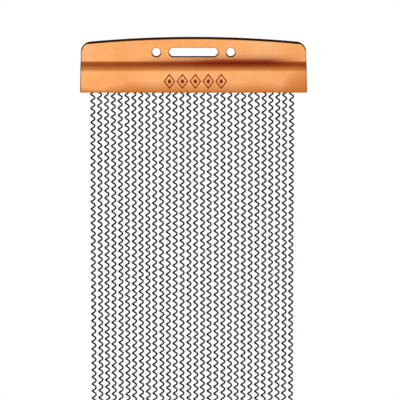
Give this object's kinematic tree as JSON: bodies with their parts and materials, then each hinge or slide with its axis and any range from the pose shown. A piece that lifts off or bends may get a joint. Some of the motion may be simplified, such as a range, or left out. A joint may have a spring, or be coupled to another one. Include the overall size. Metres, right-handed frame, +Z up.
{
  "type": "snare wire set",
  "caption": "Band of coiled steel strands brazed between two joggled copper-plated end plates with cord holes and a strap slot, for the lower head of a snare drum.",
  "frame": {"origin": "middle of the upper plate's strap slot, half way through the sheet", "axes": "+Z up the band, along the strands, towards the upper plate's crowned edge; +X across the band; -Y the show side, where the flanges stand in front of the strands"},
  "size_m": [0.0808, 0.0031, 0.3348],
  "materials": {
    "copper_plate": "copper plated, fine brushed",
    "coiled_steel": "bright drawn wire",
    "braze": "as flowed, satin"
  },
  "bodies": {
    "upper_plate": {"top_end_plate": "copper_plate", "top_braze_seam": "braze"},
    "strand_band": {"strand_01": "coiled_steel", "strand_02": "coiled_steel", "strand_03": "coiled_steel", "strand_04": "coiled_steel", "strand_05": "coiled_steel", "strand_06": "coiled_steel", "strand_07": "coiled_steel", "strand_08": "coiled_steel", "strand_09": "coiled_steel", "strand_10": "coiled_steel", "strand_11": "coiled_steel", "strand_12": "coiled_steel", "strand_13": "coiled_steel", "strand_14": "coiled_steel", "strand_15": "coiled_steel", "strand_16": "coiled_steel", "strand_17": "coiled_steel", "strand_18": "coiled_steel", "strand_19": "coiled_steel", "strand_20": "coiled_steel", "strand_21": "coiled_steel", "strand_22": "coiled_steel", "strand_23": "coiled_steel", "strand_24": "coiled_steel", "strand_25": "coiled_steel", "strand_26": "coiled_steel", "strand_27": "coiled_steel", "strand_28": "coiled_steel", "strand_29": "coiled_steel", "strand_30": "coiled_steel"},
    "lower_plate": {"bottom_end_plate": "copper_plate", "bottom_braze_seam": "braze"}
  },
  "joints": [
    {"name": "flex", "type": "hinge", "parent": "upper_plate", "child": "strand_band", "pos_m": [0, -0.00047, -0.0343], "axis": [1, 0, 0], "range_deg": [-60, 60], "stiffness_Nm_per_rad": 0.44},
    {"name": "stretch", "type": "slide", "parent": "strand_band", "child": "lower_plate", "axis": [0, 0, -1], "range_m": [0, 0.003], "stiffness_N_per_m": 1500, "deforming": ["strand_01", "strand_02", "strand_03", "strand_04", "strand_05", "strand_06", "strand_07", "strand_08", "strand_09", "strand_10", "strand_11", "strand_12", "strand_13", "strand_14", "strand_15", "strand_16", "strand_17", "strand_18", "strand_19", "strand_20", "strand_21", "strand_22", "strand_23", "strand_24", "strand_25", "strand_26", "strand_27", "strand_28", "strand_29", "strand_30"]}
  ]
}
